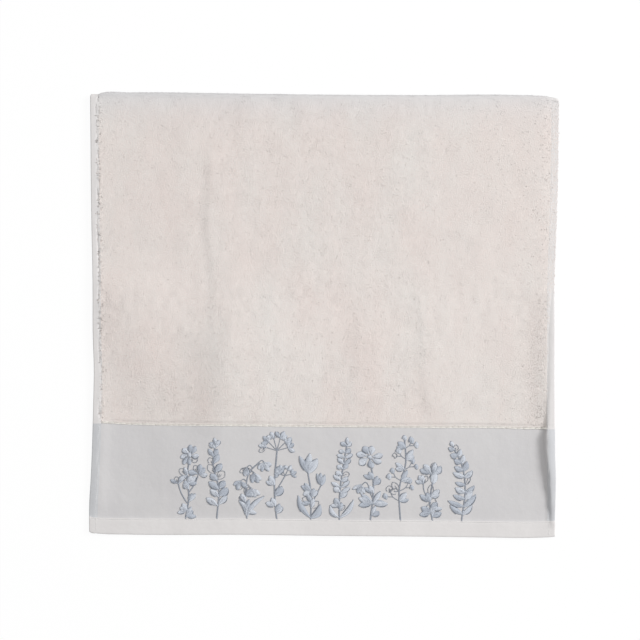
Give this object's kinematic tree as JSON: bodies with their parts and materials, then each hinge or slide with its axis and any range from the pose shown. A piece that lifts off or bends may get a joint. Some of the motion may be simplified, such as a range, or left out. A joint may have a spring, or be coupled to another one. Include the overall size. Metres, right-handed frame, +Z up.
{
  "type": "bath towel",
  "caption": "Bath towel of cotton terry with a flat woven border band and turned hems, folded in half and lying flat.",
  "frame": {"origin": "middle of the underside of the folded towel, on the surface that it lies on", "axes": "+X across the towel's width, +Y from the hemmed ends to the fold, +Z up"},
  "size_m": [0.7072, 0.6708, 0.0139],
  "materials": {
    "terry": "soft cotton loops, matt",
    "border": "flat satin weave, slight sheen",
    "hem": "flat plain weave, turned and stitched",
    "thread": "embroidery thread, slight sheen"
  },
  "bodies": {
    "root": {"towel": "terry"}
  },
  "joints": []
}
